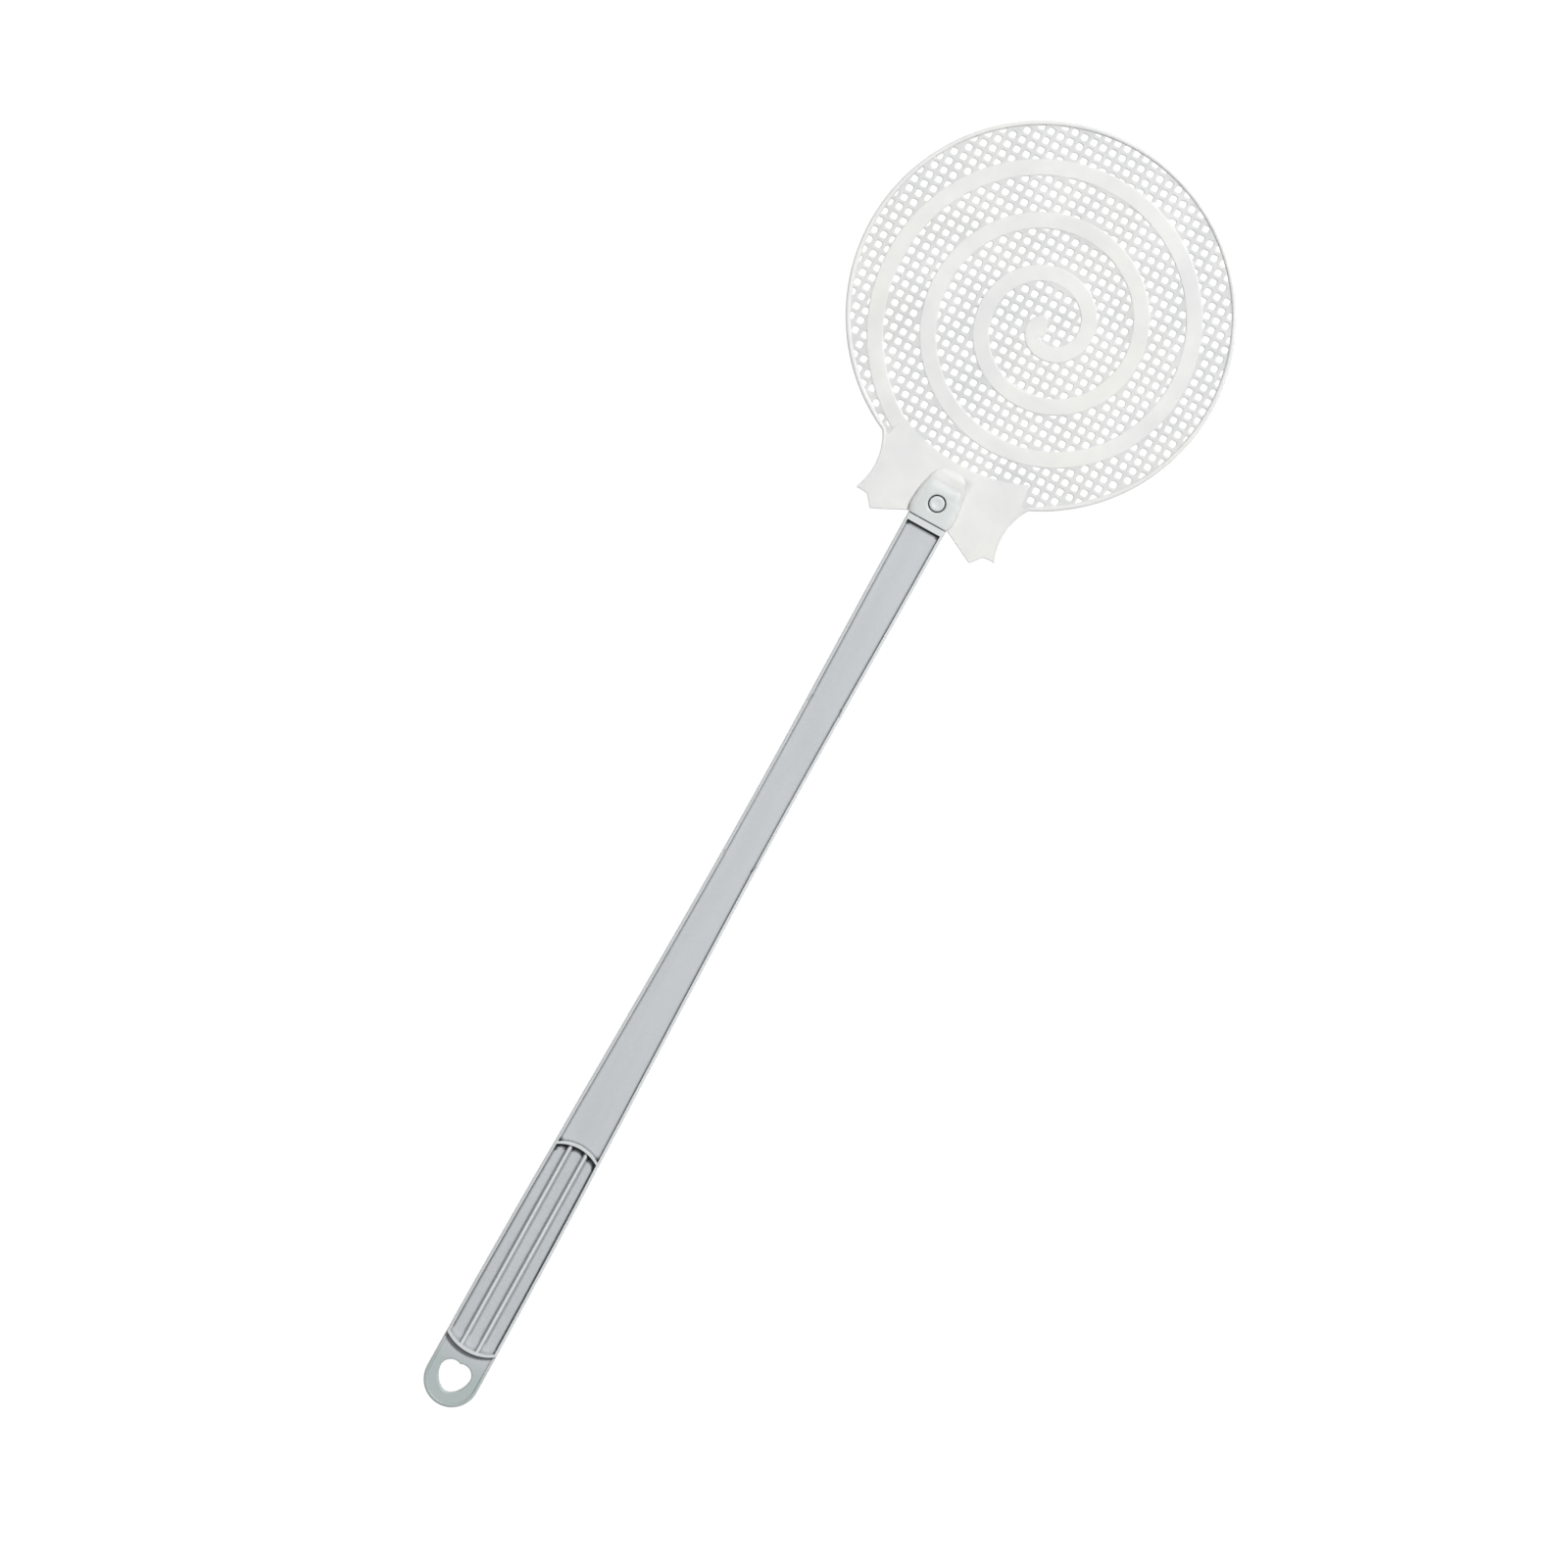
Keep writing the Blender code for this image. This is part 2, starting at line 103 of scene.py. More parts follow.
# (y, half-width, half-thickness) from the mouth to where the dome runs out into the blade
SOCKET_SECTIONS = [
    (-76.7 * MM, 6.85 * MM, 3.0 * MM),
    (-76.55 * MM, 7.1 * MM, 3.15 * MM),
    (-76.2 * MM, 7.25 * MM, 3.2 * MM),
    (-75.0 * MM, 7.7 * MM, 3.2 * MM),
    (-73.4 * MM, 8.0 * MM, 3.2 * MM),
    (-70.4 * MM, 7.9 * MM, 3.2 * MM),
    (-67.8 * MM, 7.6 * MM, 3.2 * MM),
    (-66.0 * MM, 7.25 * MM, 3.05 * MM),
    (-64.5 * MM, 6.9 * MM, 2.75 * MM),
    (-63.0 * MM, 6.5 * MM, 2.25 * MM),
    (-61.8 * MM, 6.15 * MM, 1.72 * MM),
    (-60.8 * MM, 5.75 * MM, 1.28 * MM),
    (-59.9 * MM, 5.3 * MM, 0.96 * MM),
    (-59.0 * MM, 4.6 * MM, 0.77 * MM),
    (-58.2 * MM, 3.7 * MM, 0.66 * MM),
    (-57.6 * MM, 2.8 * MM, 0.58 * MM),
]

# Tongue, snap tab and stud
SHOULDER = SOCKET_MOUTH - GAP
TONGUE_TIP = -63.2 * MM
TONGUE_HALF_WIDTH = 5.0 * MM
TONGUE_THICKNESS = 3.2 * MM
TONGUE_CORNER = 1.5 * MM
STUD_Y = -70.2 * MM
STUD_RADIUS = 2.65 * MM
STUD_HOLE_RADIUS = 2.95 * MM
TAB_TIP = STUD_Y + 3.9 * MM
TAB_HALF_WIDTH = 3.4 * MM
TAB_THICKNESS = 1.2 * MM

# Handle
NECK_HALF_WIDTH = 6.9 * MM
WAIST_Y = -176.0 * MM
WAIST_HALF_WIDTH = 6.3 * MM
GRIP_Y = -390.0 * MM
GRIP_HALF_WIDTH = 9.2 * MM
END_CENTRE = -HANDLE_REACH + GRIP_HALF_WIDTH
EDGE_WIDTH = 1.0 * MM
EDGE_ROUNDING = 0.8 * MM
WALL_RUN = 0.24 * MM                 # how far a moulded step takes to rise
SHAFT_RECESS_TOP = -79.2 * MM
SHAFT_FLOOR = 5.8 * MM
GRIP_FLOOR = 4.6 * MM
HANG_TAB_TOP = 5.0 * MM
HANG_TAB_FLOOR = 4.55 * MM
WEB_THICKNESS = 2.0 * MM
BACK_WALL = 1.7 * MM
CROSS_RIB_WIDTH = 1.2 * MM
UPPER_RIB_CROWN = -309.1 * MM
UPPER_RIB_RADIUS = 13.4 * MM
LOWER_RIB_CROWN = -385.8 * MM
LOWER_RIB_RADIUS = 15.3 * MM
RIB_BOW_REACH = 14.0 * MM            # how far from a cross rib its bow fades out of the mesh rows
TAB_BOW_REACH = 4.0 * MM             # the same, from the lower cross rib down the hanging tab
LONG_RIB_X = 2.9 * MM
LONG_RIB_WIDTH = 2.0 * MM
LONG_RIB_TOP = 6.4 * MM
LONG_RIB_FULLNESS = 1.15             # above 1, so a long rib has a narrow flat along its crest
PARTING_LINE = 0.05 * MM             # how far it stands out of the handle's side
PARTING_HALF_HEIGHT = 0.15 * MM

# Heart-shaped hanging hole: two round lobes above, and one full curve below that narrows to the tip
HEART_LOBE_X = 1.7 * MM
HEART_LOBE_Y = -393.9 * MM
HEART_LOBE_RADIUS = 3.73 * MM
HEART_DEPTH = 6.95 * MM              # from the lobes' centres down to the tip
HEART_FULLNESS = 1.75                # 2 would make the lower half an ellipse, and 1 a triangle

# Colours
MILKY_LIGHT = (0.83, 0.83, 0.82, 1.0)
MILKY_DARK = (0.77, 0.775, 0.77, 1.0)
# The net's colours are darker than the solid parts': painted shade on its thin, rounded ribs
NET_LIGHT = (0.745, 0.75, 0.745, 1.0)
NET_DARK = (0.68, 0.69, 0.685, 1.0)
WARM_TINT = (1.0, 1.0, 0.95)
TONGUE_TINT = (0.86, 0.905, 0.905)
GREY_LIGHT = (0.60, 0.625, 0.65, 1.0)
GREY_DARK = (0.56, 0.585, 0.605, 1.0)
GREY_SPECK = (0.30, 0.32, 0.34, 1.0)
# Painted light: the hanging tab's greener grey stands in for light shining through it
GREY_THIN = (0.47, 0.535, 0.525, 1.0)   # the hanging tab, thin enough to let some light through
# Painted highlight: the raised edges, neck, cross ribs, long ribs and stud are lighter on top
GREY_RAISED_HIGHLIGHT = (0.78, 0.81, 0.81, 1.0)
# Painted highlight along the crests of the grip's long ribs
GREY_CREST_HIGHLIGHT = (0.88, 0.90, 0.90, 1.0)
GREY_SHADOW = (0.03, 0.04, 0.04, 1.0)
BLACK = (0.0, 0.0, 0.0, 1.0)
WHITE = (1.0, 1.0, 1.0, 1.0)
CREVICE_REACH = 1.5 * MM

# Studio and camera
KEY_PLACE = (0.82, 1.87, 3.0)
KEY_SIZE = 0.6
KEY_POWER = 113.0
OVERHEAD_PLACE = (-0.3, -0.2, 2.2)
OVERHEAD_SIZE = 1.6
OVERHEAD_POWER = 2.3
WORLD_STRENGTH = 0.20
PAPER_GLOW = 0.97
CAMERA_DISTANCE = 1.7
CAMERA_X = 0.65 * MM
CAMERA_BELOW_BLADE = 174.1 * MM
CAMERA_TURN = math.radians(29.0)
FRAME_WIDTH = 511.2 * MM
SENSOR_WIDTH = 36.0


# Mesh tools

def smooth_step(value):
    value = min(max(value, 0.0), 1.0)
    return value * value * (3 - 2 * value)


def mix(a, b, share):
    return a + (b - a) * share


def spread(start, end, steps):
    """Evenly spaced values from start to end, both included."""
    return [mix(start, end, step / steps) for step in range(steps + 1)]


def arc(centre, radius, start, end, steps):
    """Points on a circle from the angle start to the angle end, both included."""
    points = []
    for step in range(steps + 1):
        angle = start + (end - start) * step / steps
        points.append((centre[0] + radius * math.cos(angle), centre[1] + radius * math.sin(angle)))
    return points


def arc_through(first, middle, last, steps):
    """Points on the circle through three points, from the first to the last."""
    (ax, ay), (bx, by), (cx, cy) = first, middle, last
    twice_area = 2 * (ax * (by - cy) + bx * (cy - ay) + cx * (ay - by))
    a2 = ax * ax + ay * ay
    b2 = bx * bx + by * by
    c2 = cx * cx + cy * cy
    x = (a2 * (by - cy) + b2 * (cy - ay) + c2 * (ay - by)) / twice_area
    y = (a2 * (cx - bx) + b2 * (ax - cx) + c2 * (bx - ax)) / twice_area
    start = math.atan2(ay - y, ax - x)
    end = math.atan2(cy - y, cx - x)
    turn = (end - start + math.pi) % (2 * math.pi) - math.pi
    return arc((x, y), math.hypot(ax - x, ay - y), start, start + turn, steps)


def rounded_corner(before, corner, after, radius, steps=4):
    """Points that round off a corner, on a quadratic curve that starts and ends radius away from it."""
    corner = Vector(corner)
    start = corner + (Vector(before) - corner).normalized() * radius
    end = corner + (Vector(after) - corner).normalized() * radius
    points = []
    for step in range(steps + 1):
        t = step / steps
        point = start * (1 - t) ** 2 + corner * (2 * t * (1 - t)) + end * t ** 2
        points.append((point.x, point.y))
    return points


def mirrored(right_side):
    """A closed outline from its right-hand half, listed from top to bottom."""
    left_side = [(-x, y) for x, y in reversed(right_side) if x > 0]
    return right_side + left_side


def new_solid(name, vertices, faces):
    """An object from vertices measured from the blade's centre, with its faces turned outwards."""
    mesh = bpy.data.meshes.new(name)
    mesh.from_pydata(vertices, [], faces)
    shaper = bmesh.new()
    shaper.from_mesh(mesh)
    bmesh.ops.recalc_face_normals(shaper, faces=shaper.faces)
    shaper.to_mesh(mesh)
    shaper.free()
    solid = bpy.data.objects.new(name, mesh)
    solid.location = (0.0, BLADE_Y, 0.0)
    bpy.context.scene.collection.objects.link(solid)
    return solid


def loft(name, rings):
    """A closed solid through rings of equally many points, with a flat cap on each end."""
    count = len(rings[0])
    vertices = [point for ring in rings for point in ring]
    faces = [list(range(count)), list(range(len(vertices) - count, len(vertices)))]
    for low in range(0, len(vertices) - count, count):
        for index in range(count):
            following = (index + 1) % count
            faces.append([low + index, low + following, low + count + following, low + count + index])
    return new_solid(name, vertices, faces)


def stacked(name, outline_at, levels):
    """A loft upwards: outline_at(offset) gives each level's outline, and levels lists (z, offset)."""
    return loft(name, [[(x, y, z) for x, y in outline_at(offset)] for z, offset in levels])


def slab(name, outline, half_thickness, rounding, segments=3):
    """A flat outline as a plate about the middle height, with rounded edges."""
    low = [(x, y, MID_Z - half_thickness) for x, y in outline]
    high = [(x, y, MID_Z + half_thickness) for x, y in outline]
    plate = loft(name, [low, high])
    if rounding:
        bevel = plate.modifiers.new("Rounded edges", "BEVEL")
        bevel.width = rounding
        bevel.segments = segments
        bevel.limit_method = "ANGLE"
        bevel.angle_limit = math.radians(60.0)
        bevel.use_clamp_overlap = False
        apply_modifiers(plate)
    return plate


def circle(radius, y, count=48):
    """Points round a circle centred on the swatter's own axis."""
    return arc((0.0, y), radius, 0.0, 2 * math.pi * (count - 1) / count, count - 1)


def rectangle(half_width, y_low, y_high, corner, steps=4):
    """A rectangle across the centre line with rounded corners, listed anticlockwise from its lower right."""
    middle = (y_low + y_high) / 2
    half_height = (y_high - y_low) / 2 - corner
    straight = half_width - corner
    points = []
    for quarter, (side_x, side_y) in enumerate(((1, -1), (1, 1), (-1, 1), (-1, -1))):
        centre = (side_x * straight, middle + side_y * half_height)
        start = (quarter - 1) * math.pi / 2
        points += arc(centre, corner, start, start + math.pi / 2, steps)
    return points


def superellipse(half_width, half_height, power, count):
    """Points round a rounded rectangle: power 2 is an ellipse, and a high power is nearly a box."""
    points = []
    for step in range(count):
        angle = 2 * math.pi * (step + 0.5) / count
        across = math.copysign(abs(math.cos(angle)) ** (2 / power), math.cos(angle))
        up = math.copysign(abs(math.sin(angle)) ** (2 / power), math.sin(angle))
        points.append((half_width * across, half_height * up))
    return points


def catmull_rom(p, q, r, s, t):
    """The value between q and r at t from 0 to 1, on a smooth curve through all four."""
    square = 2 * p - 5 * q + 4 * r - s
    cube = 3 * q - p - 3 * r + s
    return 0.5 * (2 * q + (r - p) * t + square * t ** 2 + cube * t ** 3)


def smoothed(sections, steps):
    """The sections with more between them, on a Catmull-Rom curve through each value."""
    result = []
    last = len(sections) - 1
    for index in range(last):
        a = sections[max(index - 1, 0)]
        b = sections[index]
        c = sections[index + 1]
        d = sections[min(index + 2, last)]
        for step in range(steps):
            t = step / steps
            result.append(tuple(catmull_rom(*values, t) for values in zip(a, b, c, d)))
    return result + [sections[-1]]


def apply_modifiers(solid):
    bpy.context.view_layer.update()
    evaluated = solid.evaluated_get(bpy.context.evaluated_depsgraph_get())
    mesh = bpy.data.meshes.new_from_object(evaluated)
    solid.modifiers.clear()
    solid.data = mesh


def combine(solid, other, operation):
    """Join the other solid to this one, cut it away, or keep what both share. The other is used up."""
    boolean = solid.modifiers.new(operation, "BOOLEAN")
    boolean.operation = operation
    boolean.object = other
    boolean.solver = "MANIFOLD"
    apply_modifiers(solid)
    bpy.data.objects.remove(other, do_unlink=True)


def finish_moulding(solid, materials, body, node):
    """Shade the moulding, give it its plastic, and put it in its CAD node's place."""
    mesh = solid.data
    cleaner = bmesh.new()
    cleaner.from_mesh(mesh)
    bmesh.ops.remove_doubles(cleaner, verts=cleaner.verts, dist=0.002 * MM)
    cleaner.to_mesh(mesh)
    cleaner.free()
    kinds = [polygon.material_index for polygon in mesh.polygons]
    mesh.materials.clear()
    for material in materials:
        mesh.materials.append(material)
    for polygon, kind in zip(mesh.polygons, kinds):
        polygon.material_index = min(kind, len(materials) - 1)
    mesh.shade_smooth()
    mesh.set_sharp_from_angle(angle=math.radians(50.0))
    weighted = solid.modifiers.new("Even shading", "WEIGHTED_NORMAL")
    weighted.keep_sharp = True
    weighted.weight = 60
    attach(solid, body)
    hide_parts(node)


# Head

def spiral_radius(angle):
    return SPIRAL_TURN * (angle - SPIRAL_START) / (2 * math.pi)


def spiral_clearance(x, y):
    """How far a point is outside the spiral band, negative inside it."""
    radius = math.hypot(x - SPIRAL_CENTRE[0], y - SPIRAL_CENTRE[1])
    angle = math.atan2(y - SPIRAL_CENTRE[1], x - SPIRAL_CENTRE[0])
    clearance = HEAD_RADIUS
    while angle < SPIRAL_END:
        if angle >= SPIRAL_START:
            clearance = min(clearance, abs(radius - spiral_radius(angle)) - SPIRAL_WIDTH / 2)
        angle += 2 * math.pi
    return clearance


def hole_is_moulded(x, y):
    """Whether the net has a hole centred at (x, y): some of it must show inside the rim, collar and band."""
    radius = math.hypot(x, y)
    if radius > HEAD_RADIUS - RIM_WIDTH + NET_COVERED:
        return False
    if y < 0 and abs(x) < COLLAR_HALF_WIDTH and radius > COLLAR_RADIUS + NET_COVERED:
        return False
    return spiral_clearance(x, y) > -NET_COVERED


def quarter_turned(point, quarters):
    x, y = point
    for _ in range(quarters):
        x, y = -y, x
    return x, y


def cell_edge():
    """The twelve points round one cell of the net, which its neighbours share."""
    half = NET_PITCH / 2
    straight = NET_HOLE / 2 - NET_CORNER
    corner = [(half, straight), (half, half), (straight, half)]
    return [quarter_turned(point, quarters) for quarters in range(4) for point in corner]


def hole_ring(offset):
    """Twelve points round a hole with rounded corners, moved outwards by offset."""
    straight = NET_HOLE / 2 - NET_CORNER
    corner = arc((straight, straight), NET_CORNER + offset, 0.0, math.pi / 2, 2)
    return [quarter_turned(point, quarters) for quarters in range(4) for point in corner]


def make_net():
    """The net as one closed sheet of square cells, some with a hole. It is trimmed to the blade later."""
    shaper = bmesh.new()
    known = {}

    def vertex(x, y, z):
        key = (round(x / (0.01 * MM)), round(y / (0.01 * MM)), round(z / (0.001 * MM)))
        if key not in known:
            known[key] = shaper.verts.new((x, y, z))
        return known[key]

    def ring_at(points, centre, z):
        return [vertex(centre[0] + x, centre[1] + y, z) for x, y in points]

    def bridge(outer, inner):
        for index in range(len(outer)):
            following = (index + 1) % len(outer)
            shaper.faces.new((outer[index], outer[following], inner[following], inner[index]))

    half = NET_THICKNESS / 2
    cells = math.ceil(HEAD_RADIUS / NET_PITCH) + 1
    for column in range(-cells, cells):
        for row in range(-cells, cells):
            centre = ((column + 0.5) * NET_PITCH, (row + 0.5) * NET_PITCH)
            top = ring_at(cell_edge(), centre, MID_Z + half)
            bottom = ring_at(cell_edge(), centre, MID_Z - half)
            if not hole_is_moulded(*centre):
                shaper.faces.new(top)
                shaper.faces.new(bottom[::-1])
                continue
            above = top
            for offset, depth in NET_LIP:
                ring = ring_at(hole_ring(offset), centre, MID_Z + half - depth)
                bridge(above, ring)
                above = ring
            for offset, depth in reversed(NET_LIP):
                ring = ring_at(hole_ring(offset), centre, MID_Z - half + depth)
                bridge(above, ring)
                above = ring
            bridge(above, bottom)
    open_edges = [edge for edge in shaper.edges if edge.is_boundary]
    bmesh.ops.bridge_loops(shaper, edges=open_edges)
    bmesh.ops.recalc_face_normals(shaper, faces=shaper.faces)
    mesh = bpy.data.meshes.new("net")
    shaper.to_mesh(mesh)
    shaper.free()
    net = bpy.data.objects.new("net", mesh)
    net.location = (0.0, BLADE_Y, 0.0)
    bpy.context.scene.collection.objects.link(net)
    return net


def spiral_outline(steps=420):
    """The band's outer edge out to its end, and its inner edge back to the spiral's centre."""
    outer = []
    inner = []
    for step in range(steps + 1):
        angle = mix(SPIRAL_START, SPIRAL_END, (step / steps) ** 0.7)
        radius = spiral_radius(angle)
        direction = (math.cos(angle), math.sin(angle))
        for side, reach in ((outer, radius + SPIRAL_WIDTH / 2), (inner, radius - SPIRAL_WIDTH / 2)):
            if reach > SPIRAL_LEAST_REACH:
                x = SPIRAL_CENTRE[0] + reach * direction[0]
                y = SPIRAL_CENTRE[1] + reach * direction[1]
                side.append((x, y))
    return outer + inner[::-1]


def wing_side(steps=16):
    """The concave outer side of the right-hand wing, from the rim to the outer tip."""
    return arc_through(WING_ROOT, WING_WAIST, WING_OUTER_TIP, steps)


def wing_outline():
    """The collar at the bottom of the blade and the wings under it."""
    side = wing_side()
    start = math.asin(COLLAR_HALF_WIDTH / COLLAR_RADIUS) - math.pi / 2
    collar = arc((0.0, 0.0), COLLAR_RADIUS, -math.pi / 2, start, 12)
    points = [*side, WING_NOTCH, WING_INNER_TIP, WING_FOOT]
    lower = []
    for index in range(len(side) - 1, len(points) - 1):
        lower += rounded_corner(points[index - 1], points[index], points[index + 1], WING_CORNER)
    return mirrored(collar + [COLLAR_END] + side[:-1] + lower + [WING_FOOT])


def rim_path():
    """(x, y, share of wing) along the blade's edge and the wings' outer sides, from tip to tip."""
    root = math.atan2(WING_ROOT[1], WING_ROOT[0])
    path = [(x, y, 1.0) for x, y in wing_side()[:0:-1]]
    path += [(x, y, 0.0) for x, y in arc((0.0, 0.0), HEAD_RADIUS, root, math.pi - root, 180)]
    path += [(-x, y, 1.0) for x, y in wing_side()[1:]]
    return path


def make_rim():
    """The raised bead that follows the blade's edge and thins out down the wings."""
    path = rim_path()
    shares = [share for _, _, share in path]
    rings = []
    for index, (x, y, _) in enumerate(path):
        before = path[max(index - 1, 0)]
        after = path[min(index + 1, len(path) - 1)]
        run = Vector((after[0] - before[0], after[1] - before[1])).normalized()
        inward = Vector((-run.y, run.x))
        near = shares[max(index - 4, 0):index + 5]
        share = sum(near) / len(near)
        half_width = mix(RIM_WIDTH, WING_BEAD_WIDTH, share) / 2
        half_height = mix(RIM_THICKNESS, WING_BEAD_THICKNESS, share) / 2
        ring = []
        for across, up in superellipse(half_width, half_height, RIM_SQUARENESS, 16):
            reach = half_width + across
            ring.append((x + inward.x * reach, y + inward.y * reach, MID_Z + up))
        rings.append(ring)
    return loft("rim", rings)


def make_socket():
    rings = []
    for y, half_width, half_thickness in smoothed(SOCKET_SECTIONS, 3):
        section = superellipse(half_width, half_thickness, SOCKET_SQUARENESS, 48)
        rings.append([(x, y, MID_Z + z) for x, z in section])
    return loft("socket", rings)


def make_head(milky, milky_net):
    head = make_net()
    disc = slab("disc", circle(HEAD_RADIUS - NET_INSET, 0.0, 240), RIM_THICKNESS, 0.0)
    combine(head, disc, "INTERSECT")
    for polygon in head.data.polygons:
        polygon.material_index = 1
    head.data.materials.append(milky)
    head.data.materials.append(milky_net)
    combine(head, slab("band", spiral_outline(), SPIRAL_THICKNESS / 2, SPIRAL_ROUNDING), "UNION")
    bud = arc(SPIRAL_BUD, SPIRAL_BUD_RADIUS, 0.0, 2 * math.pi, 48)[:-1]
    bud_height = SPIRAL_THICKNESS / 2 - 0.02 * MM
    combine(head, slab("spiral_bud", bud, bud_height, SPIRAL_ROUNDING), "UNION")
    combine(head, make_rim(), "UNION")
    combine(head, slab("wings", wing_outline(), PLATE_THICKNESS / 2, PLATE_ROUNDING), "UNION")
    combine(head, make_socket(), "UNION")

    half = SOCKET_THICKNESS / 2 - SOCKET_WALL
    wide = TONGUE_HALF_WIDTH + GAP
    cavity = stacked(
        "cavity",
        lambda offset: rectangle(wide - offset, SOCKET_MOUTH - 3 * MM, TONGUE_TIP + GAP, 0.5 * MM),
        [(MID_Z - half, 0.3 * MM), (MID_Z - half + 0.3 * MM, 0.0),
         (MID_Z + half - 0.3 * MM, 0.0), (MID_Z + half, 0.3 * MM)],
    )
    combine(head, cavity, "DIFFERENCE")
    top = MID_Z + SOCKET_THICKNESS / 2
    hole = stacked(
        "stud_hole",
        lambda offset: circle(STUD_HOLE_RADIUS + offset, STUD_Y),
        [(MID_Z, 0.0), (top - 0.3 * MM, 0.0), (top - 0.1 * MM, 0.08 * MM),
         (top, 0.3 * MM), (top + MM, 0.3 * MM)],
    )
    combine(head, hole, "DIFFERENCE")
    head.name = "head_moulding"
    finish_moulding(head, [milky, milky_net], "head", "head")


# Handle

def half_width(y):
    """The handle narrows from the neck to the waist, widens to the grip, and ends in a half circle."""
    if y < END_CENTRE:
        return math.sqrt(max(GRIP_HALF_WIDTH ** 2 - (y - END_CENTRE) ** 2, 0.0))
    to_waist = smooth_step((SHOULDER - y) / (SHOULDER - WAIST_Y))
    to_grip = smooth_step((WAIST_Y - y) / (WAIST_Y - GRIP_Y))
    narrowing = (NECK_HALF_WIDTH - WAIST_HALF_WIDTH) * to_waist
    return NECK_HALF_WIDTH - narrowing + (GRIP_HALF_WIDTH - WAIST_HALF_WIDTH) * to_grip


def bow(x, row):
    """How far a mesh row bends at x, so that the rows run along the curved cross ribs."""
    upper = smooth_step(1 - abs(row - UPPER_RIB_CROWN) / RIB_BOW_REACH)
    lower_reach = RIB_BOW_REACH if row > LOWER_RIB_CROWN else TAB_BOW_REACH
    lower = smooth_step(1 - abs(row - LOWER_RIB_CROWN) / lower_reach)
    upper_bow = math.sqrt(UPPER_RIB_RADIUS ** 2 - x ** 2) - UPPER_RIB_RADIUS
    lower_bow = LOWER_RIB_RADIUS - math.sqrt(LOWER_RIB_RADIUS ** 2 - x ** 2)
    return upper * upper_bow + lower * lower_bow


def step_up(row, edge):
    """0 above the edge along the handle and 1 below it, rising smoothly over the moulded wall."""
    return smooth_step(0.5 + (edge - row) / WALL_RUN)


def floor_height(row):
    """Height of the front face between the raised edges."""
    height = mix(HANDLE_THICKNESS, SHAFT_FLOOR, step_up(row, SHAFT_RECESS_TOP))
    height = mix(height, HANDLE_THICKNESS, step_up(row, UPPER_RIB_CROWN))
    height = mix(height, GRIP_FLOOR, step_up(row, UPPER_RIB_CROWN - CROSS_RIB_WIDTH))
    height = mix(height, HANDLE_THICKNESS, step_up(row, LOWER_RIB_CROWN + CROSS_RIB_WIDTH))
    return mix(height, HANG_TAB_TOP, step_up(row, LOWER_RIB_CROWN))


def front_height(x, y, row):
    """Height of the handle's front face."""
    floor = floor_height(row)
    rim_top = mix(HANDLE_THICKNESS, HANG_TAB_TOP, step_up(row, LOWER_RIB_CROWN))
    to_edge = half_width(row) - abs(x)
    if y < END_CENTRE:
        to_edge = GRIP_HALF_WIDTH - math.hypot(x, y - END_CENTRE)
    height = mix(rim_top, floor, smooth_step(0.5 + (to_edge - EDGE_WIDTH) / WALL_RUN))
    half_rib = CROSS_RIB_WIDTH / 2
    in_grip = step_up(row, UPPER_RIB_CROWN - half_rib) - step_up(row, LOWER_RIB_CROWN + half_rib)
    if in_grip > 0:
        beside = abs(abs(x) - LONG_RIB_X) / (LONG_RIB_WIDTH / 2)
        rise = math.sqrt(smooth_step(LONG_RIB_FULLNESS * (1 - beside)))
        rib = mix(GRIP_FLOOR, LONG_RIB_TOP, rise)
        height = max(height, rib)
    if to_edge < EDGE_ROUNDING:
        depth = EDGE_ROUNDING - max(to_edge, 0.0)
        height -= EDGE_ROUNDING - math.sqrt(EDGE_ROUNDING ** 2 - depth ** 2)
    return height


def channel_height(row):
    """Height of the ceiling of the open channel along the back, 0 where the back is solid."""
    step_y = UPPER_RIB_CROWN - CROSS_RIB_WIDTH
    shaft = step_up(row, SHAFT_RECESS_TOP - BACK_WALL) - step_up(row, step_y)
    grip = step_up(row, step_y - BACK_WALL) - step_up(row, LOWER_RIB_CROWN + BACK_WALL)
    return (SHAFT_FLOOR - WEB_THICKNESS) * shaft + (GRIP_FLOOR - WEB_THICKNESS) * grip


def front_columns(width):
    """Places across the handle, closest together where the front face has a step or a rounded edge."""
    scale = min(width / half_width(END_CENTRE), 1.0)
    reference = max(width, half_width(END_CENTRE)) if scale < 0.7 else width
    from_edge = [0.0, 0.03, 0.1, 0.2, 0.34, 0.5, 0.66, 0.8]
    from_edge += [0.87, 0.92, 0.96, 1.0, 1.04, 1.08, 1.13, 1.2, 1.6]
    right = [reference - distance * MM for distance in from_edge]
    rib_outer = LONG_RIB_X + LONG_RIB_WIDTH / 2
    rib_inner = LONG_RIB_X - LONG_RIB_WIDTH / 2
    right += spread(right[-1], rib_outer, 4)[1:]
    right += spread(rib_outer, rib_inner, 16)[1:]
    right += spread(rib_inner, 0.0, 5)[1:]
    right = [x * width / reference for x in right]
    return right + [-x for x in reversed(right[:-1])]


